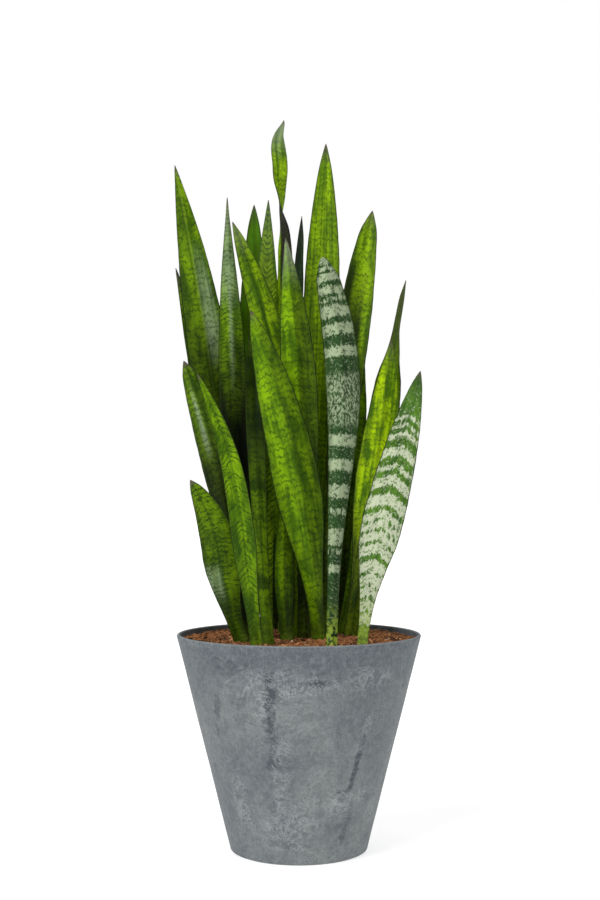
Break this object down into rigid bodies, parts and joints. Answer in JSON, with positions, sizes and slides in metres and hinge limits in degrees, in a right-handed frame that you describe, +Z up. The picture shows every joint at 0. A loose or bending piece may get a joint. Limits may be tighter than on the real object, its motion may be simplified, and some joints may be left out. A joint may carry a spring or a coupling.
{
  "type": "potted snake plant",
  "caption": "Upright potted snake plant: separate sword-shaped cross-banded leaves rise from coir potting mix in a tapered round stone-look planter.",
  "frame": {"origin": "centre of the planter's flat underside, on the surface that it stands on", "axes": "+Z up along the planter's axis, -Y towards the front of the plant, +X to its right seen from the front"},
  "size_m": [0.3368, 0.3597, 0.995],
  "materials": {
    "pot": "matte",
    "soil": "matte",
    "leaf_green": "satin",
    "leaf_dark": "satin",
    "leaf_pale": "satin"
  },
  "bodies": {
    "root": {"pot": "pot", "soil": "soil", "leaf_left_tall": "leaf_green", "leaf_left_behind": "leaf_green", "leaf_left_glossy": "leaf_green", "leaf_left_low": "leaf_green", "leaf_folded": "leaf_dark", "leaf_leaning": "leaf_green", "leaf_centre": "leaf_green", "leaf_twisted_tallest": "leaf_green", "leaf_sliver": "leaf_dark", "leaf_plain": "leaf_green", "leaf_chevron": "leaf_green", "leaf_right_tall": "leaf_green", "leaf_front_left": "leaf_green", "leaf_front_narrow": "leaf_dark", "leaf_front_short": "leaf_green", "leaf_front_broad": "leaf_green", "leaf_front_pale": "leaf_pale", "leaf_right_upper": "leaf_green", "leaf_right_edge_on": "leaf_green", "leaf_right_olive": "leaf_green", "leaf_right_pale": "leaf_pale", "leaf_back_left": "leaf_green", "leaf_back_inner_left": "leaf_green", "leaf_back_middle": "leaf_green", "leaf_back_inner_right": "leaf_green", "leaf_back_far_right": "leaf_green"}
  },
  "joints": []
}
